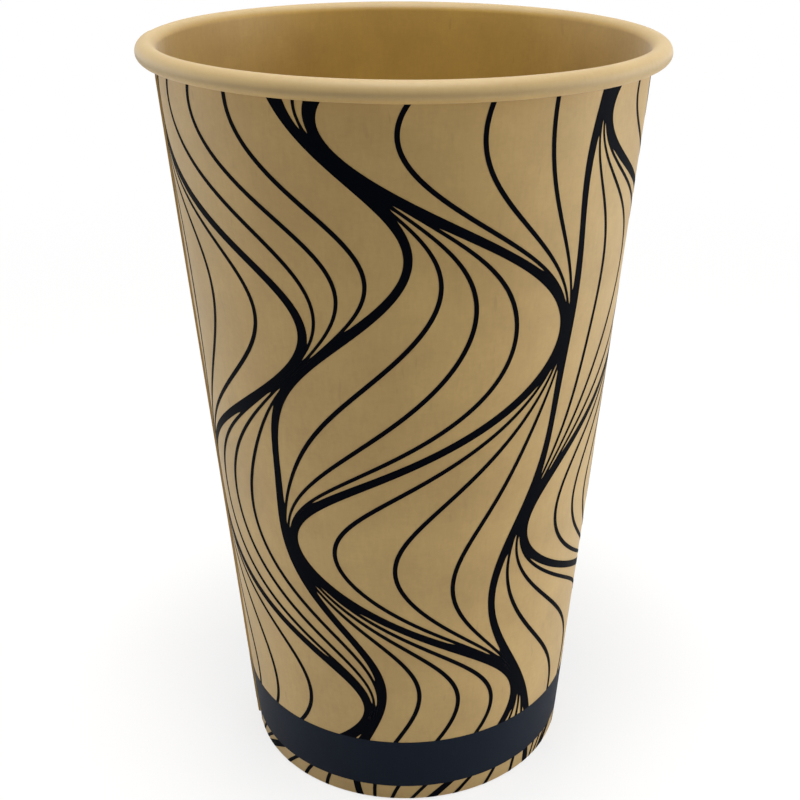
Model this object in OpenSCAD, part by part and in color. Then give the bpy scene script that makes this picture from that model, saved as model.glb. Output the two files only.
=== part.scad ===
// Paper hot-drink cup, empty and without a lid.
// A conical board wall with a rolled rim, a lapped side seam and a folded foot,
// and a recessed base whose turned-down skirt is held in the fold.
// Sizes are in millimetres. +Z is up, and the origin is the centre of the foot
// on the surface the cup stands on. The front faces -Y and the seam is at the
// left, near -X.

/* [Cup] */
// Height from the foot to the top of the rim
cup_h = 138; // [120:1:160]
// Outer diameter of the rolled rim
rim_d = 90; // [84:0.5:96]
// Outer diameter of the wall, carried straight down to the foot
foot_d = 62; // [56:0.5:68]
// Thickness of the wall's board
wall_t = 0.45; // [0.3:0.05:0.6]
// Thickness of the base's board
base_t = 0.4; // [0.3:0.05:0.6]

/* [Rim curl] */
// Outer diameter of the curl's section
curl_d = 3.5; // [3:0.1:4.5]
// Space between one turn of the curl and the next
curl_gap = 0.1; // [0.05:0.05:0.2]
// How far the curl's inner turn runs past its first full turn, in degrees
curl_tail = 80; // [30:5:120]

/* [Side seam] */
// Where the middle of the lap is round the cup, in degrees from +X towards +Y
seam_at = 188; // [0:1:359]
// Width of the lap, in degrees round the cup
seam_lap = 12; // [8:1:18]
// Stretch over which the outer end climbs onto the inner one, in degrees
seam_climb = 24; // [16:1:36]

/* [Foot] */
// Height of the strip that is folded up inside the foot
fold_h = 7; // [5:0.5:9]
// Radius of the fold's outer corner
foot_r = 0.6; // [0.4:0.05:0.65]
// Radius of the fold's inner corner
fold_r = 0.4; // [0.3:0.05:0.5]
// Height of the base's upper face above the foot
base_rise = 9; // [8.5:0.5:14]
// Outer radius of the bend between base and skirt
base_bend_r = 1.2; // [0.8:0.1:2]
// Clearance in each sealed joint between the boards
seal_gap = 0.05; // [0.02:0.01:0.1]
// Space under the skirt's cut edge
skirt_gap = 0.3; // [0.1:0.1:1]

/* [Print] */
// Thickness of the ink, drawn thicker than life so that it can be seen
ink_t = 0.1; // [0.05:0.01:0.2]
// Least clearance between the wall and the ink, so that their meshes don't cross
ink_gap = 0.05; // [0.04:0.01:0.1]
// Height of the band's lower edge
band_low = 3.5; // [3:0.1:8]
// Height of the band
band_h = 11; // [6:0.2:14]
// Unprinted margin at the foot
print_margin = 0.7; // [0.7:0.1:2]
// Unprinted margin under the rim
rim_margin = 0.3; // [0.2:0.1:3]
// Number of leaf columns round the cup
columns = 12; // [12:2:14]
// Height of one leaf, from one meeting point to the next
leaf_h = 70; // [60:1:80]
// Height of the lowest row of meeting points, which lies below the foot
leaf_low = -12; // [-20:1:20]
// Width of a strand, the line between two columns
strand_w = 1.3; // [1:0.1:2.2]
// Extra width of a strand at its meeting points
strand_swell = 0.5; // [0:0.1:1]
// Width of a vein at the middle of a leaf
vein_w = 0.8; // [0.6:0.1:1]
// Width of a vein at the ends of a leaf
vein_tip_w = 0.45; // [0.3:0.05:0.6]
// Veins in each leaf
veins = 3; // [1:1:3]
// Sideways sway of the columns, in degrees round the cup
sway = 10; // [0:1:14]
// Height of one sway, from one side to the other and back
sway_h = 120; // [110:5:160]
// Height over which the columns' widths change and come back
change_h = 97; // [90:1:120]
// Height of one wave of a vein
wave_h = 60; // [55:5:90]
// Rows of facets between the band and the rim
rows = 24; // [18:1:24]

/* [Hidden] */
$fn = 120;

// Board and ink colours
board_colour = [0.72, 0.6, 0.42];
base_colour = [0.66, 0.53, 0.34];
band_colour = [0.12, 0.17, 0.24];
line_colour = [0.04, 0.05, 0.08];

// The curl's section is a circle that the wall's inner face runs into.
curl_r = curl_d / 2;
curl_x = rim_d / 2 - curl_r;
curl_z = cup_h - curl_r;
curl_pitch = wall_t + curl_gap;

// Lean of the wall, from the outer face's foot point to its tangent on the curl
reach_x = curl_x - foot_d / 2;
reach = norm([reach_x, curl_z]);
lean = acos((curl_r - wall_t) / reach) - atan2(curl_z, reach_x);
slope = tan(lean);
board_x = wall_t / cos(lean);

// Radii at the foot of each face in the fold, from the outside in
wall_in = foot_d / 2 - board_x;
skirt_out = wall_in - seal_gap;
skirt_in = skirt_out - base_t / cos(lean);
fold_out = skirt_in - seal_gap;
fold_in = fold_out - board_x;

function face_r(foot_radius, z) = foot_radius + z * slope;
function wall_r(z) = face_r(foot_d / 2, z);

// Points of a round corner
corner_steps = 6;
function corner(cx, cz, r, from, to) = [
    for (i = [0:corner_steps])
        let (a = from + (to - from) * i / corner_steps)
        [cx + r * cos(a), cz + r * sin(a)]
];

// Centre of a round corner of radius r between a level face at height z and a
// leaning face whose foot is at x, with the board on the side given (-1 inside)
function corner_x(x, z, r, side) = x + (z + r) * slope + side * r / cos(lean);

// The wall's section from the fold up to the curl
module wall_section() {
    outer_x = corner_x(foot_d / 2, 0, foot_r, -1);
    inner_x = corner_x(fold_in, 0, fold_r, 1);
    top_in = [curl_x - curl_r * cos(lean), curl_z + curl_r * sin(lean)];
    top_out = top_in + wall_t * [cos(lean), -sin(lean)];
    polygon(concat(
        [top_in, [face_r(wall_in, wall_t), wall_t], [face_r(fold_out, wall_t), wall_t]],
        [[face_r(fold_out, fold_h), fold_h], [face_r(fold_in, fold_h), fold_h]],
        corner(inner_x, fold_r, fold_r, 180 - lean, 270),
        corner(outer_x, foot_r, foot_r, 270, 360 - lean),
        [top_out]
    ));
}

// Half of a ring, on the upper side of its own centre line
module half_ring(r) {
    difference() {
        circle(r = r, $fn = 64);
        circle(r = r - wall_t, $fn = 64);
        translate([-2 * r, -2 * r])
            square([4 * r, 2 * r]);
    }
}

// The curl's section: a spiral of half rings, each smaller than the last
module curl_section() {
    translate([curl_x, curl_z])
        rotate(-lean) {
            half_ring(curl_r);
            translate([curl_pitch / 2, 0])
                mirror([0, 1])
                    half_ring(curl_r - curl_pitch / 2);
            difference() {
                half_ring(curl_r - curl_pitch);
                rotate(180 - curl_tail)
                    translate([-2 * curl_r, -4 * curl_r])
                        square(4 * curl_r);
            }
        }
}

// A solid cone out to the wall's outer face, grown or shrunk by a distance
module wall_cone(grow, low, high) {
    rotate_extrude()
        polygon([
            [0, low],
            [wall_r(low) + grow, low],
            [wall_r(high) + grow, high],
            [0, high]
        ]);
}

// A wedge of space round the axis, between two angles
module wedge(from, to) {
    linear_extrude(cup_h)
        polygon([
            [0, 0],
            rim_d * [cos(from), sin(from)],
            rim_d * [cos(to), sin(to)]
        ]);
}

// The seam. The lap's outer end follows a cone that is shifted sideways, so it
// leaves the wall without a step and stands one board thick at its cut edge.
lap_start = seam_at - seam_lap / 2;
lap_end = seam_at + seam_lap / 2;
climb_start = lap_start - seam_climb;
seam_shift = wall_t / sin(seam_climb + seam_lap);
seam_low = foot_r;
seam_high = curl_z - curl_r / 2;

module shifted() {
    translate(seam_shift * [-sin(climb_start), cos(climb_start), 0])
        children();
}

// A solid out to the wall's outer face, with the lap's rise
module lapped_body(grow, low, high) {
    wall_cone(grow, low, high);
    intersection() {
        shifted()
            wall_cone(grow, low, high);
        wedge(climb_start, lap_end);
    }
}

module side_wall() {
    color(board_colour)
        difference() {
            union() {
                rotate_extrude()
                    wall_section();
                rotate_extrude()
                    curl_section();
                difference() {
                    intersection() {
                        shifted()
                            wall_cone(0, seam_low, seam_high);
                        wedge(climb_start, lap_end);
                    }
                    wall_cone(-wall_t / 2, 0, cup_h);
                }
            }
            intersection() {
                shifted()
                    wall_cone(-board_x, base_rise, seam_high);
                wedge(climb_start - 1, lap_start);
            }
        }
}

module base_disc() {
    skirt_low = wall_t + skirt_gap;
    bend_z = base_rise - base_bend_r;
    bend_x = corner_x(skirt_out, bend_z - base_bend_r, base_bend_r, -1);
    color(base_colour)
        rotate_extrude()
            polygon(concat(
                [[0, base_rise - base_t]],
                [for (p = corner(bend_x, bend_z, base_bend_r - base_t, 90, -lean)) p],
                [[face_r(skirt_in, skirt_low), skirt_low]],
                [[face_r(skirt_out, skirt_low), skirt_low]],
                [for (p = corner(bend_x, bend_z, base_bend_r, -lean, 90)) p],
                [[0, base_rise]]
            ));
}

// The print: a band near the foot, and lines that run up the cup. Each line has
// a centre angle and a half width at any height. Every so many lines one is a
// strand, where two columns of leaves meet, and the lines between are veins.
print_low = print_margin;
print_high = cup_h - curl_d - rim_margin;
band_high = band_low + band_h;

// The pattern starts and ends at the lap's cut edge.
edge_margin = 0.3;
print_start = lap_end + edge_margin;
print_span = 360 - 2 * edge_margin;

lines = columns * (veins + 1);

// Space left between neighbours at a meeting point, and a column's least share
line_gap = 0.04;
pinch = 0.05;

// How much the pattern varies, so that no two leaves are alike
leaf_jitter = 0.05;
share_change = 0.2;
vein_wave = 0.05;

// Height over which a line's lean is measured
lean_step = 1;

// Radians in a degree
turn = PI / 180;

function sum(v, n, i = 0) = i < n ? v[i] + sum(v, n, i + 1) : 0;

// How near column k is to a meeting point at height z, from 0 to 1
function meeting(k, z) =
    (1 + cos(360 * ((z - leaf_low) / leaf_h + (k % 2) / 2 + leaf_jitter * sin(71 * k)))) / 2;

// Widths of the columns before they are made to fill the wall
function shares(z) = [
    for (k = [0:columns - 1])
        (1 - meeting(k, z) + pinch) * (1 + share_change * sin(360 * z / change_h + 83 * k))
];

// The angles of the column edges, with a sway that fades towards the seam
function edges(z) =
    let (share = shares(z), total = sum(share, columns))
    [
        for (k = [0:columns])
            let (at = print_span * sum(share, k) / total)
            print_start + at
                + sway * sin(360 * z / sway_h + 100) * sin(180 * at / print_span)
    ];

// The angle of every line at height z, with the two edges of the print
function centres(z) =
    let (edge = edges(z))
    [
        for (i = [0:lines])
            let (
                k = floor(i / (veins + 1)),
                j = i % (veins + 1),
                wave = j == 0 ? 0 : vein_wave * sin(360 * z / wave_h + 90 * k + 50 * j)
            )
            j == 0 ? edge[k] : edge[k] + (edge[k + 1] - edge[k]) * (j / (veins + 1) + wave)
    ];

function line_w(i, z) =
    let (k = floor(i / (veins + 1)), j = i % (veins + 1))
    i == 0 || i == lines ? 0 :
    j == 0 ? strand_w + strand_swell * pow(max(meeting(k, z), meeting(k - 1, z)), 3) :
    vein_w - (vein_w - vein_tip_w) * pow(meeting(k, z), 2);

// Half the level width of every line at height z, which grows where it leans
function halves(z) =
    let (
        r = wall_r(z),
        above = centres(z + lean_step / 2),
        below = centres(z - lean_step / 2)
    )
    [
        for (i = [0:lines])
            let (lean_here = (above[i] - below[i]) * turn * r / lean_step)
            line_w(i, z) / 2 * norm([1, lean_here]) / (r * turn)
    ];

// Every line's left and right edge at height z. Where lines crowd together at a
// meeting point, neighbours share the space between their centres.
function row(z) =
    let (
        c = centres(z),
        h = halves(z),
        hair = line_gap / 2 / (wall_r(z) * turn),
        mid = [for (i = [0:lines - 1]) c[i] + (c[i + 1] - c[i]) * h[i] / (h[i] + h[i + 1])]
    )
    [
        for (i = [1:lines - 1]) [
            max(c[i] - h[i], mid[i - 1] + hair),
            min(c[i] + h[i], mid[i] - hair)
        ]
    ];

// Distance of the wall's outer face from the axis, with the lap's rise
function lapped_r(a, z) =
    let (r = wall_r(z), from = a - 360 - climb_start)
    from < 0 ? r : max(r, seam_shift * sin(from) + sqrt(r * r - pow(seam_shift * cos(from), 2)));

function on_wall(a, z, lift) =
    let (r = lapped_r(a, z) + lift) [r * cos(a), r * sin(a), z];

// The rows run from the foot's margin to the band, and from the band to the rim.
heights = concat(
    [print_low, band_low],
    [for (i = [0:rows]) band_high + (print_high - band_high) * i / rows]
);
band_row = 1;

// All lines as one skin. Each line is a closed ribbon of its own, and it stops
// below the band and starts again above it.
module line_skin() {
    table = [for (z = heights) row(z)];
    wide = len(table[0]);
    top = len(heights) - 1;
    function edge(a, i, side) = table[a][i][side];
    // Whether line i leans to the right from row a to the next
    function leans(a, i) = edge(a + 1, i, 0) + edge(a + 1, i, 1) > edge(a, i, 0) + edge(a, i, 1);
    // How far round the cup the facets of line i reach from row a to the next
    function reach(a, i) =
        a < 0 || a == band_row || a == top ? 0 :
        max([for (side = [0, 1]) abs(edge(a + 1, i, side) - edge(a, i, side))]);
    // A flat facet lies below the round wall at its middle by this much
    function bow(a, i) =
        pow(max(reach(a - 1, i), reach(a, i)) * turn, 2) * wall_r(heights[a]) / 8;
    points = [
        for (lift = [ink_gap + ink_t, ink_gap], a = [0:top], i = [0:wide - 1], side = [0, 1])
            on_wall(edge(a, i, side), heights[a], lift + bow(a, i))
    ];
    // The number of a point: skin side s, row a, line i, left 0 or right 1
    function at(s, a, i, side) = ((s * (top + 1) + a) * wide + i) * 2 + side;
    function quad(a, b, c, d, other = false) =
        other ? [[b, c, d], [b, d, a]] : [[a, b, c], [a, c, d]];
    faces = [
        for (a = [0:top - 1], i = [0:wide - 1])
            if (a != band_row)
                each concat(
                    // The shorter diagonal keeps the facets close to the wall.
                    quad(at(0, a, i, 0), at(0, a + 1, i, 0), at(0, a + 1, i, 1), at(0, a, i, 1),
                        leans(a, i)),
                    quad(at(1, a, i, 1), at(1, a + 1, i, 1), at(1, a + 1, i, 0), at(1, a, i, 0),
                        !leans(a, i)),
                    quad(at(0, a, i, 1), at(0, a + 1, i, 1), at(1, a + 1, i, 1), at(1, a, i, 1)),
                    quad(at(1, a, i, 0), at(1, a + 1, i, 0), at(0, a + 1, i, 0), at(0, a, i, 0))
                ),
        for (a = [band_row, top], i = [0:wide - 1])
            each quad(at(0, a, i, 0), at(1, a, i, 0), at(1, a, i, 1), at(0, a, i, 1)),
        for (a = [0, band_row + 1], i = [0:wide - 1])
            each quad(at(1, a, i, 0), at(0, a, i, 0), at(0, a, i, 1), at(1, a, i, 1))
    ];
    polyhedron(points, faces);
}

module printed_band() {
    color(band_colour)
        difference() {
            lapped_body(ink_gap + ink_t, band_low, band_high);
            lapped_body(ink_gap, 0, cup_h);
        }
}

module printed_lines() {
    color(line_colour)
        line_skin();
}

side_wall();
base_disc();
printed_band();
printed_lines();
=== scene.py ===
import math

import bpy
import numpy as np
from mathutils import Matrix, Vector


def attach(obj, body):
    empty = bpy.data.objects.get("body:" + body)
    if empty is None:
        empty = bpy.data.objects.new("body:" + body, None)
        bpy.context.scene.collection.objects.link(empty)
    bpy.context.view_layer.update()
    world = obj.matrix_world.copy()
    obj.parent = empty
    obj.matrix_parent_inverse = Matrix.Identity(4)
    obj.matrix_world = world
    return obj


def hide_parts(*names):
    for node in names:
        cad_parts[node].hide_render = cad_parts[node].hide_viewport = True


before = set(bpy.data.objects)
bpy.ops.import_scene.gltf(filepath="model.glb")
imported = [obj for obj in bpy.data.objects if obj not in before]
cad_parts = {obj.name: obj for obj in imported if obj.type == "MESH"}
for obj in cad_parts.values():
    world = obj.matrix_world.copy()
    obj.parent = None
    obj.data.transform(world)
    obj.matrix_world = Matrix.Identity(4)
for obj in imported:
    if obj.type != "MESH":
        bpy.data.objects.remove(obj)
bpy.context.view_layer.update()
mm = 0.001
print("frame loaded, with nodes", sorted(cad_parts))


# A socket that can be added, taken away and multiplied, which adds Math nodes.
class Wire:
    def __init__(self, nodes, socket):
        self.nodes, self.socket = nodes, socket

    def __add__(self, other):
        return self.nodes.maths("ADD", self, other)

    def __radd__(self, other):
        return self.nodes.maths("ADD", other, self)

    def __sub__(self, other):
        return self.nodes.maths("SUBTRACT", self, other)

    def __rsub__(self, other):
        return self.nodes.maths("SUBTRACT", other, self)

    def __mul__(self, other):
        return self.nodes.maths("MULTIPLY", self, other)

    def __rmul__(self, other):
        return self.nodes.maths("MULTIPLY", other, self)

    def __neg__(self):
        return self.nodes.maths("MULTIPLY", self, -1.0)


# Every node of a tree comes from add: its type, its settings, its sockets.
class Nodes:
    def __init__(self, tree):
        self.tree = tree

    def add(self, kind, settings=None, sockets=None, output=0):
        node = self.tree.nodes.new(kind)
        for name, value in (settings or {}).items():
            if name == "stops":  # the two ends of a ramp, each a place and a level
                for stop, (place, level) in zip(node.color_ramp.elements, value):
                    stop.position, stop.color = place, (level, level, level, 1)
            else:
                setattr(node, name, value)
        for key, value in (sockets or {}).items():
            if isinstance(value, Wire):
                self.tree.links.new(value.socket, node.inputs[key])
            else:
                node.inputs[key].default_value = value
        if isinstance(output, tuple):  # several outputs of one node
            return [Wire(self, node.outputs[name]) for name in output]
        return Wire(self, node.outputs[output]) if node.outputs else node

    def maths(self, operation, *values):
        return self.add("ShaderNodeMath", {"operation": operation}, dict(enumerate(values)))

    def blend(self, share, first, second, kind="MIX"):  # of two colours
        return self.add("ShaderNodeMix", {"data_type": "RGBA", "blend_type": kind},
                        {0: share, 6: first, 7: second}, 2)

    def ramp(self, value, places, levels=(0.0, 1.0)):
        return self.add("ShaderNodeValToRGB", {"stops": tuple(zip(places, levels))},
                        {"Fac": value})


def colour(red, green, blue):  # from the 0 to 255 of a screen to linear light
    def linear(v):
        v = v / 255
        return v / 12.92 if v <= 0.04045 else ((v + 0.055) / 1.055) ** 2.4
    return (linear(red), linear(green), linear(blue), 1.0)


def shaded(tone, share):
    return tuple(level * share for level in tone[:3]) + (1.0,)


def newMaterial(name):
    material = bpy.data.materials.new(name)
    material.use_nodes = True
    material.node_tree.nodes.clear()
    return material, Nodes(material.node_tree)


def finishMaterial(n, surface):
    n.add("ShaderNodeOutputMaterial", sockets={"Surface": surface})


# Kraft board: clouds of tone, short fibres both ways and a few darker flecks.
kraft = {
    "dark": colour(168, 136, 75),
    "light": colour(185, 153, 89),
    "coatTintAndShade": (1.0, 0.92, 0.48, 1.0),   # the glaze on the inside deepens the brown, with painted shade of the cup's inside
    "paleAndHighlight": colour(170, 147, 102),        # where the rim is stretched and rubbed, and painted highlight on the rim's top
    "paleAndHighlightLeast": 0.36,
    "paleAndHighlightFibre": 0.48,       # more of it where fibres stand up
    "fleck": colour(122, 92, 56),
    "fleckShare": 0.22,
    "cloud": {"Scale": 70.0, "Detail": 4.0, "Roughness": 0.6},  # scales are per metre
    "fibre": {"Scale": 1500.0, "Detail": 3.0, "Roughness": 0.65},
    "weft": {"Scale": 1950.0, "Detail": 2.0},
    "speck": {"Scale": 900.0, "Detail": 1.0},
    "upright": (1.0, 1.0, 0.22),          # fibres are drawn out along the cup
    "level": (0.45, 0.45, 1.0),           # and fewer of them, the weft, lie round it
    "fibreShare": 0.6,
    "weftShare": 0.4,
    "cloudEnds": (0.3, 0.7),              # noise levels at the dark end and the light
    "fibreEnds": (0.3, 0.7),
    "speckEnds": (0.7, 0.8),
    "fibreDepth": 0.10,
    "gloss": 0.6,
    "sheen": 0.2,
    "sheenRough": 0.5,
    "roughPlain": 0.62,
    "roughCoated": 0.5,
    "roughChange": 0.12,
    "coatTurn": 0.3,         # how far a face of the base turns up to be fully glazed and given the inside's painted shade
    "bump": 0.012 * mm,
    "baseShade": 0.9,
    "cutShade": 1.12,
}


def paperNoise(n, kind, drawn=None):
    place = n.add("ShaderNodeTexCoord", output="Object")
    if drawn:
        place = n.add("ShaderNodeVectorMath", {"operation": "MULTIPLY"},
                      {0: place, 1: kraft[drawn]})
    return n.add("ShaderNodeTexNoise", sockets={"Vector": place, **kraft[kind]})


def fibres(n):
    upright, weft = paperNoise(n, "fibre", "upright"), paperNoise(n, "weft", "level")
    return kraft["fibreShare"] * upright + kraft["weftShare"] * weft


def wallCoatAndShade(n):  # the wall's own points say where it is glazed and painted with the inside's shade
    return n.add("ShaderNodeAttribute", {"attribute_name": "coatedAndShaded"}, output="Fac")


def baseCoatAndShade(n):  # the base is glazed, with the inside's painted shade, where it faces up
    outwards = n.add("ShaderNodeTexCoord", output="Normal")
    up = n.add("ShaderNodeSeparateXYZ", sockets={0: outwards}, output="Z")
    return n.add("ShaderNodeMapRange", sockets={"Value": up, "From Max": kraft["coatTurn"]})


def boardMaterial(name, shade=1.0, coatAndShade=None, rubbedAndHighlit=False):
    material, n = newMaterial(name)
    fibre = fibres(n)
    tone = n.ramp(paperNoise(n, "cloud"), kraft["cloudEnds"])
    board = n.blend(tone, shaded(kraft["dark"], shade), shaded(kraft["light"], shade))
    grain = n.ramp(fibre, kraft["fibreEnds"], (1 - kraft["fibreDepth"], 1.0))
    board = n.blend(1.0, board, grain, "MULTIPLY")
    fleck = n.ramp(paperNoise(n, "speck", "upright"), kraft["speckEnds"])
    board = n.blend(kraft["fleckShare"] * fleck, board, kraft["fleck"])
    rough = kraft["roughPlain"] + kraft["roughChange"] * (0.5 - fibre)
    if coatAndShade:
        coatedAndShaded = coatAndShade(n)
        # the inside's glaze and painted shade of the cup's inside deepen the brown
        board = n.blend(coatedAndShaded, board, n.blend(1.0, board, kraft["coatTintAndShade"], "MULTIPLY"))
        rough = rough - (kraft["roughPlain"] - kraft["roughCoated"]) * coatedAndShaded
    # paler rim top: partly rubbed wear, partly painted highlight where the light falls on it
    if rubbedAndHighlit:
        rubbedAndHighlitShare = n.add("ShaderNodeAttribute", {"attribute_name": "rubbedAndHighlit"}, output="Fac")
        board = n.blend(rubbedAndHighlitShare * (kraft["paleAndHighlightLeast"] + kraft["paleAndHighlightFibre"] * fibre),
                        board, kraft["paleAndHighlight"])
    bump = n.add("ShaderNodeBump", sockets={
        "Strength": 1.0, "Distance": kraft["bump"], "Height": fibre})
    finishMaterial(n, n.add("ShaderNodeBsdfPrincipled", sockets={
        "Base Color": board, "Roughness": rough, "Normal": bump,
        "Specular IOR Level": kraft["gloss"],
        "Sheen Weight": kraft["sheen"], "Sheen Roughness": kraft["sheenRough"]}))
    return material


# Ink: nearly flat, a little thinner over the fibres that stand up.
inks = {
    "band": {"full": colour(5, 15, 30), "thin": colour(11, 25, 41), "gloss": 0.05,
             "sheen": 0.06},
    "line": {"full": colour(1, 2, 7), "thin": colour(3, 7, 15), "gloss": 0.02,
             "sheen": 0.0},
    "thinEnds": (0.35, 0.75),  # mean noise level where the ink is full, and where thin
    "rough": 0.6,
    "roughChange": 0.15,
    "bump": 0.008 * mm,
}


def inkMaterial(name, ink):
    material, n = newMaterial(name)
    fibre = fibres(n)
    thin = n.ramp(0.5 * paperNoise(n, "cloud") + 0.5 * fibre, inks["thinEnds"])
    bump = n.add("ShaderNodeBump", sockets={
        "Strength": 1.0, "Distance": inks["bump"], "Height": fibre})
    finishMaterial(n, n.add("ShaderNodeBsdfPrincipled", sockets={
        "Base Color": n.blend(thin, ink["full"], ink["thin"]),
        "Roughness": inks["rough"] + inks["roughChange"] * (fibre - 0.5),
        "Normal": bump, "Specular IOR Level": ink["gloss"],
        "Sheen Weight": ink["sheen"], "Sheen Roughness": kraft["sheenRough"]}))
    return material


kraftBoard = boardMaterial("kraftBoard", coatAndShade=wallCoatAndShade, rubbedAndHighlit=True)
baseBoard = boardMaterial("baseBoard", kraft["baseShade"], coatAndShade=baseCoatAndShade)
cutBoard = boardMaterial("cutBoard", kraft["cutShade"])
navyInk = inkMaterial("navyInk", inks["band"])
blackInk = inkMaterial("blackInk", inks["line"])
print("materials made")


# The wall is one sheet of board: rolled, lapped, curled at the top and folded at
# the foot. Its section is a line down the middle of the board.
wall = {                 # millimetres and degrees, as in the part
    "height": 138.0,
    "rimDiameter": 90.0,
    "footDiameter": 62.0,
    "board": 0.45,
    "baseBoard": 0.4,
    "curlDiameter": 3.5,
    "curlPitch": 0.55,
    "curlTurn": 440.0,
    "foldHeight": 7.0,
    "footCorner": 0.6,
    "foldCorner": 0.4,
    "sealGap": 0.05,     # on each side of the base's skirt
    "skirtGap": 0.3,     # under its cut edge
    "lapStart": 182.0,
    "lapEnd": 194.0,
    "climb": 24.0,       # stretch beside the lap over which an end leaves its place
    "lapAir": 0.02,
    "lapInRim": 0.2,     # share of the lap's step that is left after curling
    "crimps": 90,        # presser marks round the folded strip
    "crimpDepth": 0.07,
    "lapRise": 0.25,     # height over which the outer end climbs from the foot
    "rubbedAndHighlitOutside": (-1.5, 0.0),  # heights from the curl's centre where the rim turns pale: rubbed wear and painted highlight
    "rubbedAndHighlitInside": (0.4, 1.2),
    "unevenness": 0.09,
    "evenFoot": 1.3,     # the power of the height with which the waves grow
    "waves": (           # number round the cup, phase, share, twist per millimetre
        (2, 0.7, 1.0, 0.0),
        (3, 2.2, 0.5, 1 / 45),
        (7, 1.1, 0.25, -1 / 21),
        (11, 0.0, 0.18, 1 / 14),
    ),
    "stepsRound": 372,
    "stepsUp": 28,
    "curlSteps": 50,
    "cornerSteps": 8,
    "stripSteps": 5,
    "sharpAngle": 50.0,
}

half = wall["board"] / 2
curlR = wall["curlDiameter"] / 2
curlX = wall["rimDiameter"] / 2 - curlR
curlZ = wall["height"] - curlR
reachX = curlX - wall["footDiameter"] / 2
lean = math.acos((curlR - wall["board"]) / math.hypot(reachX, curlZ)) - math.atan2(curlZ, reachX)
slope = math.tan(lean)
foldIn = (wall["footDiameter"] / 2 - (2 * wall["board"] + wall["baseBoard"]) / math.cos(lean)
          - 2 * wall["sealGap"])
stripPoints = wall["stripSteps"] + 1


def wallRadius(z):
    return wall["footDiameter"] / 2 + slope * z


def arc(x, z, radius, turn):
    angle = np.radians(turn)
    out = np.stack([np.cos(angle), np.sin(angle)], 1)
    return np.array([x, z]) + out * np.reshape(radius, (-1, 1)), out


def straight(start, end, normal, count):
    t = np.linspace(0, 1, count + 2)[1:-1, None]
    return np.array(start) * (1 - t) + np.array(end) * t, np.tile(normal, (count, 1))


def wallSection():
    side, down = np.array([math.cos(lean), -math.sin(lean)]), np.array([0.0, -1.0])
    tilt = math.degrees(lean)
    footX = wallRadius(wall["footCorner"]) - wall["footCorner"] / math.cos(lean)
    foldX = foldIn + wall["foldCorner"] * (slope + 1 / math.cos(lean))
    stripTop = np.array([foldIn + slope * wall["foldHeight"] + half / math.cos(lean),
                         wall["foldHeight"]])
    inner = arc(foldX, wall["foldCorner"], wall["foldCorner"] - half,
                np.linspace(180 - tilt, 270, wall["cornerSteps"]))
    outer = arc(footX, wall["footCorner"], wall["footCorner"] - half,
                np.linspace(270, 360 - tilt, wall["cornerSteps"]))
    turn = np.linspace(0, wall["curlTurn"], wall["curlSteps"])
    wound = np.radians(np.clip(turn, 180, 360) - 180)
    radius = curlR - half - wall["curlPitch"] * (1 - np.cos(wound)) / 2
    curl, out = arc(curlX, curlZ, radius, 180 - tilt - turn)
    parts = [
        (stripTop[None], -side[None]),
        straight(stripTop, inner[0][0], -side, wall["stripSteps"]),
        inner,
        straight(inner[0][-1], outer[0][0], down, 1),
        outer,
        straight(outer[0][-1], curl[0], side, wall["stepsUp"]),
        (curl, -out),
    ]
    return np.concatenate([p[0] for p in parts]), np.concatenate([p[1] for p in parts])


def smooth(x):
    x = np.clip(x, 0, 1)
    return x * x * (3 - 2 * x)


def unevenness(angle, z):  # the slight waves of a thin wall, which die out at the foot
    rise = np.clip(z / wall["height"], 0, 1) ** wall["evenFoot"]
    wave = sum(share * np.sin(count * angle + phase + twist * z)
               for count, phase, share, twist in wall["waves"])
    return wall["unevenness"] * rise * wave


def meshObject(name, points, faces, materials, faceSlots=None):
    mesh = bpy.data.meshes.new(name)
    mesh.from_pydata((np.asarray(points) * mm).tolist(), [], faces)
    for m in materials:
        mesh.materials.append(m)
    if faceSlots is not None:
        mesh.polygons.foreach_set("material_index", faceSlots)
    mesh.update()
    obj = bpy.data.objects.new(name, mesh)
    bpy.context.scene.collection.objects.link(obj)
    return obj


def wallPoints(line, normal, turns):
    height, order = line[:, 1], np.arange(len(line))
    lift, liftUnder = wall["board"] + wall["lapAir"], wall["skirtGap"] - wall["lapAir"]
    # The outer end climbs over the inner one. Under the foot the inner end rises
    # towards the skirt instead, so that the cup still stands flat.
    above = smooth((height - half) / wall["lapRise"])
    inside = 1 - above
    above *= 1 - (1 - wall["lapInRim"]) * smooth((height - curlZ + 2 * curlR) / curlR)
    onStrip = ((order < stripPoints) * smooth(wall["foldHeight"] - height)
               * smooth(height - 2 * wall["foldCorner"]))
    rows = []
    for turn in turns:
        over = smooth((turn - 360 - wall["lapStart"] + wall["climb"]) / wall["climb"])
        under = 1 - smooth((turn - wall["lapEnd"]) / wall["climb"])
        shift = lift * over * above - liftUnder * under * inside
        angle = math.radians(turn)
        mark = wall["crimpDepth"] * (1 + math.cos(wall["crimps"] * angle)) / 2
        for sign in (1, -1):
            away = shift + sign * half - (mark * onStrip if sign == 1 else 0)
            face = line + normal * away[:, None]
            radius = face[:, 0] + unevenness(angle, face[:, 1])
            ring = np.stack([radius * math.cos(angle), radius * math.sin(angle), face[:, 1]], 1)
            rows.append(ring[::sign])
    return np.concatenate(rows)


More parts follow.
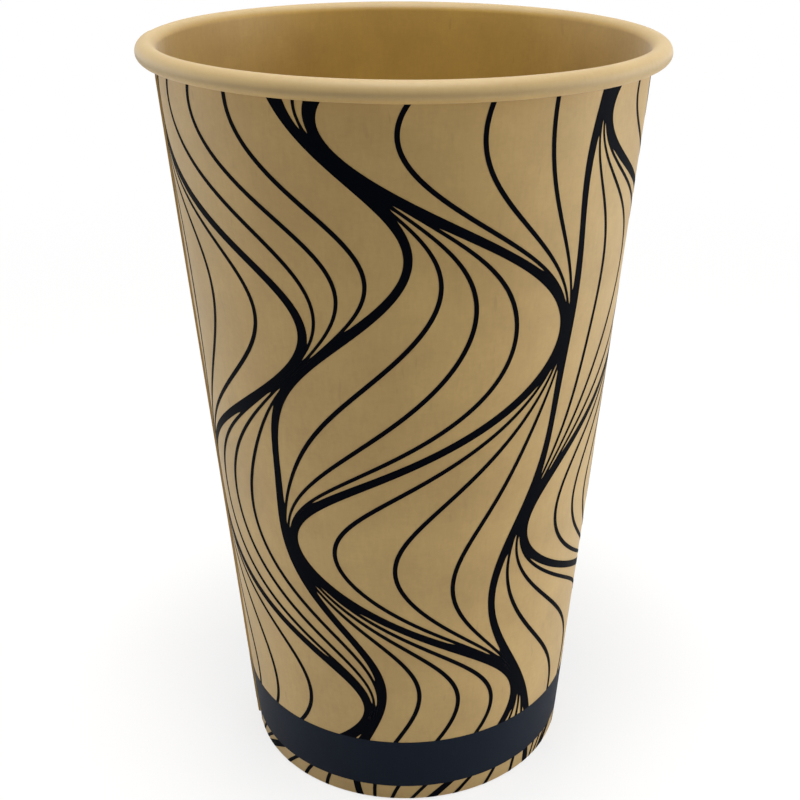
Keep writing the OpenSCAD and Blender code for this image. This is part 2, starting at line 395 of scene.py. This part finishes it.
def makeWall():
    line, normal = wallSection()
    count, steps = len(line), wall["stepsRound"]
    turns = np.linspace(wall["lapStart"], 360 + wall["lapEnd"], steps + 1)
    loop, cutEdges = 2 * count, (count - 1, 2 * count - 1)
    faces, slots = [], []
    for j in range(steps):
        a, b = j * loop, (j + 1) * loop
        for i in range(loop):
            k = (i + 1) % loop
            faces.append((a + i, b + i, b + k, a + k))
            slots.append(1 if i in cutEdges else 0)
    for i in range(count - 1):  # the two cut ends of the sheet
        k, far = loop - 1 - i, steps * loop
        faces.append((i, i + 1, k - 1, k))
        faces.append((far + i, far + k, far + k - 1, far + i + 1))
        slots += [1, 1]
    points = wallPoints(line, normal, turns)
    obj = meshObject("cupWall", points, faces, [kraftBoard, cutBoard], slots)
    # the rim's top is painted paler: rubbed wear and painted highlight
    outward = line[:, 0] > curlX
    start, full = (np.where(outward, a, b)
                   for a, b in zip(wall["rubbedAndHighlitOutside"], wall["rubbedAndHighlitInside"]))
    rubbedAndHighlit = smooth((line[:, 1] - curlZ - start) / (full - start))
    marks = {
        "coatedAndShaded": np.concatenate([np.zeros(count), 1 - rubbedAndHighlit[::-1]]),
        "rubbedAndHighlit": np.concatenate([rubbedAndHighlit, rubbedAndHighlit[::-1]]),
    }
    for name, values in marks.items():
        mark = obj.data.attributes.new(name, "FLOAT", "POINT")
        mark.data.foreach_set("value", np.tile(values, steps + 1))
    obj.data.shade_smooth()
    obj.data.set_sharp_from_angle(angle=math.radians(wall["sharpAngle"]))
    return obj


cupWall = makeWall()
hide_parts("side_wall")
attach(cupWall, "root")
print("wall made:", len(cupWall.data.polygons), "faces")

# The base keeps its solid and gets its own board.
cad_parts["base_disc"].material_slots[0].material = baseBoard
print("base finished")


# The print is flat artwork, angle across and height up, that nodes wrap round the
# wall. Strands stand where two columns of leaves meet, and veins lie between.
artwork = {              # millimetres and degrees, by the part's rule
    "low": 0.25,
    "bandLow": 3.5,
    "bandHigh": 14.5,
    "high": 134.3,
    "edge": 0.3,         # bare strip each side of the lap's cut edge, in degrees
    "bandEdge": 0.1,     # and the same for the band
    "columns": 12,
    "veins": 3,
    "leafHeight": 70.0,
    "leafLow": -12.0,    # the lowest row of meeting points
    "leafJitter": 0.05,
    "leafPhase": 71.0,   # phases are degrees from one column or vein to the next
    "shareChange": 0.2,
    "changeHeight": 97.0,
    "changePhase": 83.0,
    "pinch": 0.05,
    "veinWave": 0.05,
    "waveHeight": 60.0,
    "columnPhase": 90.0,
    "veinPhase": 50.0,
    "sway": 10.0,
    "swayHeight": 120.0,
    "swayPhase": 100.0,
    "leanStep": 1.0,     # height over which a line's lean is measured
    "strandWidth": 1.3,
    "strandSwell": 0.5,
    "veinWidth": 0.8,
    "veinTip": 0.45,
    "inkSpread": 0.22,   # gaps narrower than this fill with ink
    "hair": 0.006,       # and keep this much, so that each line is closed by itself
    "rowHeight": 0.6,
    "footRowHeight": 0.15,   # finer, where the print goes round the foot's corner
    "bandRows": 8,
    "bandSteps": 300,
    "startRadius": 60.0,     # from which the artwork is cast inwards onto the wall
    "lift": 0.01,
    "inkThickness": 0.03,
}


def sind(x):
    return np.sin(np.radians(x))


def meeting(k, z):  # 1 where column k is pinched to nothing, 0 where it is widest
    a = artwork
    rise = (z - a["leafLow"]) / a["leafHeight"] + (k % 2) / 2
    return (1 + np.cos(2 * np.pi * (rise + a["leafJitter"] * sind(a["leafPhase"] * k)))) / 2


def columnEdges(z):
    a = artwork
    change = [a["shareChange"] * sind(360 * z / a["changeHeight"] + a["changePhase"] * k)
              for k in range(a["columns"])]
    share = np.array([(1 - meeting(k, z) + a["pinch"]) * (1 + c) for k, c in enumerate(change)])
    span = 360 - 2 * a["edge"]
    at = span * np.concatenate([np.zeros((1, len(z))), np.cumsum(share, 0)]) / share.sum(0)
    swing = a["sway"] * sind(360 * z / a["swayHeight"] + a["swayPhase"])
    return wall["lapEnd"] + a["edge"] + at + swing * sind(180 * at / span)


def lineCentres(z):
    a, edge = artwork, columnEdges(z)
    found = []
    for k in range(a["columns"]):
        found.append(edge[k])
        for j in range(1, a["veins"] + 1):
            phase = a["columnPhase"] * k + a["veinPhase"] * j
            wave = a["veinWave"] * sind(360 * z / a["waveHeight"] + phase)
            found.append(edge[k] + (edge[k + 1] - edge[k]) * (j / (a["veins"] + 1) + wave))
    return np.array(found + [edge[-1]])


def lineWidth(i, z):
    a = artwork
    k, j = divmod(i, a["veins"] + 1)
    if i in (0, a["columns"] * (a["veins"] + 1)):  # nothing is printed on the seam
        return 0 * z
    if j == 0:
        near = np.maximum(meeting(k, z), meeting(k - 1, z))
        return a["strandWidth"] + a["strandSwell"] * near ** 3
    return a["veinWidth"] - (a["veinWidth"] - a["veinTip"]) * meeting(k, z) ** 2


def lineEdges(z):  # crowded neighbours share the space between their centres
    centre, step = lineCentres(z), artwork["leanStep"]
    slant = (lineCentres(z + step / 2) - lineCentres(z - step / 2)) / step
    degree = np.radians(1) * wallRadius(z)
    halves = np.array([lineWidth(i, z) / 2 * np.hypot(1, slant[i] * degree) / degree
                       for i in range(len(centre))])
    middle = centre[:-1] + np.diff(centre, axis=0) * halves[:-1] / (halves[:-1] + halves[1:])
    hair = artwork["hair"] / 2 / degree
    left = np.maximum(centre[1:-1] - halves[1:-1], middle[:-1] + hair)
    right = np.minimum(centre[1:-1] + halves[1:-1], middle[1:] - hair)
    gap = (left[1:] - right[:-1]) * degree / np.hypot(1, slant[1:-2] * degree)
    filled = gap < artwork["inkSpread"]
    left[1:] = np.where(filled, middle[1:-1] + hair, left[1:])
    right[:-1] = np.where(filled, middle[1:-1] - hair, right[:-1])
    return left, right


def strip(points, faces, left, right, z, across):
    start, wide = len(points), across + 1
    for a, b, height in zip(left, right, z):
        points += [(a + (b - a) * i / across, 0.0, height) for i in range(wide)]
    for r in range(len(z) - 1):
        for i in range(across):
            p = start + r * wide + i
            faces.append((p, p + 1, p + wide + 1, p + wide))


def flatLines():
    a, points, faces = artwork, [], []
    for low, high, step in ((a["low"], a["bandLow"], a["footRowHeight"]),
                            (a["bandHigh"], a["high"], a["rowHeight"])):
        z = np.linspace(low, high, round((high - low) / step) + 1)
        for left, right in zip(*lineEdges(z)):
            strip(points, faces, left, right, z, 2)
    return points, faces


def flatBand():
    a, points, faces = artwork, [], []
    z = np.linspace(a["bandLow"], a["bandHigh"], a["bandRows"] + 1)
    start = wall["lapEnd"] + a["bandEdge"] + 0 * z
    strip(points, faces, start, start + 360 - 2 * a["bandEdge"], z, a["bandSteps"])
    return points, faces


def wrapTree():
    tree = bpy.data.node_groups.new("wrapRoundCup", "GeometryNodeTree")
    for name, kind in (("Geometry", "Geometry"), ("Cup", "Object"), ("Start Radius", "Float"),
                       ("Lift", "Float"), ("Ink", "Material")):
        tree.interface.new_socket(name, in_out="INPUT", socket_type="NodeSocket" + kind)
    tree.interface.new_socket("Geometry", in_out="OUTPUT", socket_type="NodeSocketGeometry")
    n = Nodes(tree)
    flat, cup, startRadius, lift, ink = n.add(
        "NodeGroupInput", output=("Geometry", "Cup", "Start Radius", "Lift", "Ink"))
    place = n.add("GeometryNodeInputPosition")
    angle, height = n.add("ShaderNodeSeparateXYZ", sockets={0: place}, output=("X", "Z"))
    cosine, sine = n.maths("COSINE", angle), n.maths("SINE", angle)
    start = n.add("ShaderNodeCombineXYZ", sockets={
        "X": startRadius * cosine, "Y": startRadius * sine, "Z": height})
    inwards = n.add("ShaderNodeCombineXYZ", sockets={"X": -cosine, "Y": -sine, "Z": 0.0})
    target = n.add("GeometryNodeObjectInfo", {"transform_space": "ORIGINAL"},
                   {"Object": cup}, "Geometry")
    met, hit, normal = n.add("GeometryNodeRaycast", sockets={
        "Target Geometry": target, "Source Position": start, "Ray Direction": inwards,
        "Ray Length": startRadius}, output=("Is Hit", "Hit Position", "Hit Normal"))
    lifted = n.add("ShaderNodeVectorMath", {"operation": "SCALE"}, {0: normal, "Scale": lift})
    landed = n.add("ShaderNodeVectorMath", {"operation": "ADD"}, {0: hit, 1: lifted})
    kept = n.add("GeometryNodeDeleteGeometry", {"domain": "POINT"},
                 {"Geometry": flat, "Selection": 1 - met})  # what would miss the wall
    wrapped = n.add("GeometryNodeSetPosition", sockets={"Geometry": kept, "Position": landed})
    plain = n.add("GeometryNodeRealizeInstances", sockets={"Geometry": wrapped})
    inked = n.add("GeometryNodeSetMaterial", sockets={"Geometry": plain, "Material": ink})
    n.add("NodeGroupOutput", sockets={"Geometry": inked})
    return tree


def printed(name, art, ink, tree):
    points, faces = art
    points = [(math.radians(x) / mm, y, z) for x, y, z in points]
    obj = meshObject(name, points, faces, [ink])
    wrap = obj.modifiers.new("wrap", "NODES")
    wrap.node_group = tree
    sockets = {s.name: s.identifier for s in tree.interface.items_tree if s.in_out == "INPUT"}
    wrap[sockets["Cup"]] = cupWall
    wrap[sockets["Start Radius"]] = artwork["startRadius"] * mm
    wrap[sockets["Lift"]] = artwork["lift"] * mm
    wrap[sockets["Ink"]] = ink
    skin = obj.modifiers.new("skin", "SOLIDIFY")
    skin.thickness, skin.offset = artwork["inkThickness"] * mm, 1.0
    seen = bpy.context.evaluated_depsgraph_get()
    mesh = bpy.data.meshes.new_from_object(obj.evaluated_get(seen))
    obj.modifiers.clear()
    obj.data = mesh
    mesh.shade_smooth()
    mesh.set_sharp_from_angle(angle=math.radians(wall["sharpAngle"]))
    return obj


wrapRoundCup = wrapTree()
prints = (
    ("printedBand", flatBand(), navyInk, "printed_band", "navy_ink"),
    ("printedLines", flatLines(), blackInk, "printed_lines", "black_ink"),
)
for name, art, ink, node, slotName in prints:
    piece = printed(name, art, ink, wrapRoundCup)
    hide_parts(node)
    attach(piece, "root")
    print(name, "made:", len(piece.data.polygons), "faces")


# The studio is a pale floor, soft lamps and a background that is white to the
# camera and in reflections, and dim as a light.
studio = {
    "floor": colour(238, 237, 235),
    "floorSize": 3000.0,     # millimetres either way
    "floorDrop": 0.05,
    "floorGlow": 0.75,       # how white the floor is at the cup, where 1 shows no shadow
    "plainTo": 0.10,         # metres from the cup at which the floor starts to whiten
    "whiteFrom": 0.45,
    "ambient": 0.19,         # the background's strength as a light
    "lamps": (               # name, place and size in metres, watts
        ("overhead", (0.0, -0.10, 0.80), 0.22, 5.6),
        ("behind", (0.0, 0.40, 0.70), 0.30, 1.2),
        ("left", (-0.58, 0.08, 0.10), 0.40, 1.15),
        ("right", (0.58, 0.05, 0.10), 0.40, 2.8),
    ),
    "aim": (0.0, 0.0, 0.07),
}


def makeBackground():
    world = bpy.data.worlds.new("studio")
    bpy.context.scene.world = world
    world.use_nodes = True
    world.node_tree.nodes.clear()
    n = Nodes(world.node_tree)
    camera, glossy, through = n.add("ShaderNodeLightPath", output=(
        "Is Camera Ray", "Is Glossy Ray", "Is Transmission Ray"))
    seen = n.maths("MAXIMUM", camera, n.maths("MAXIMUM", glossy, through))
    strength = seen * (1 - studio["ambient"]) + studio["ambient"]
    sky = n.add("ShaderNodeBackground", sockets={"Color": (1, 1, 1, 1), "Strength": strength})
    n.add("ShaderNodeOutputWorld", sockets={"Surface": sky})


def makeFloor():
    material, n = newMaterial("studioFloor")
    camera = n.add("ShaderNodeLightPath", output="Is Camera Ray")
    plain = n.add("ShaderNodeBsdfDiffuse", sockets={"Color": studio["floor"]})
    glow = n.add("ShaderNodeEmission", sockets={"Color": (1, 1, 1, 1), "Strength": 1.0})
    where = n.add("ShaderNodeTexCoord", output="Object")
    far = n.add("ShaderNodeVectorMath", {"operation": "LENGTH"}, {0: where}, "Value")
    whiten = n.add("ShaderNodeMapRange", {"interpolation_type": "SMOOTHSTEP"}, {
        "Value": far, "From Min": studio["plainTo"], "From Max": studio["whiteFrom"],
        "To Min": studio["floorGlow"], "To Max": 1.0})
    finishMaterial(n, n.add("ShaderNodeMixShader", sockets={
        0: camera * whiten, 1: plain, 2: glow}))
    size, low = studio["floorSize"], -studio["floorDrop"]
    corners = [(-size, -size, low), (size, -size, low), (size, size, low), (-size, size, low)]
    meshObject("studioFloor", corners, [(0, 1, 2, 3)], [material])


def makeLamps():
    for name, place, size, watts in studio["lamps"]:
        lamp = bpy.data.lights.new(name, "AREA")
        lamp.size, lamp.energy = size, watts
        obj = bpy.data.objects.new(name, lamp)
        away = Vector(place) - Vector(studio["aim"])
        obj.rotation_euler = away.to_track_quat("Z", "Y").to_euler()
        obj.location = place
        bpy.context.scene.collection.objects.link(obj)


shot = {                 # the camera of the photograph, in millimetres and degrees
    "place": (20.752, -215.165, 169.46),
    "tilt": 67.001,      # up from straight down
    "turn": 3.838,
    "roll": 0.448,
    "lens": 55.94,
    "sensor": 36.0,
    "shift": (-0.05, -0.05),
    "nearest": 10.0,
}


def makeCamera():
    data = bpy.data.cameras.new("camera")
    data.lens, data.sensor_width = shot["lens"], shot["sensor"]
    data.shift_x, data.shift_y = shot["shift"]
    data.clip_start = shot["nearest"] * mm
    obj = bpy.data.objects.new("camera", data)
    obj.matrix_world = Matrix.Translation(Vector(shot["place"]) * mm)
    for angle, axis in (("turn", "Z"), ("tilt", "X"), ("roll", "Z")):
        obj.matrix_world @= Matrix.Rotation(math.radians(shot[angle]), 4, axis)
    bpy.context.scene.collection.objects.link(obj)
    bpy.context.scene.camera = obj


makeBackground()
makeFloor()
makeLamps()
makeCamera()
bpy.context.scene.view_settings.view_transform = "Standard"
print("studio and camera made")
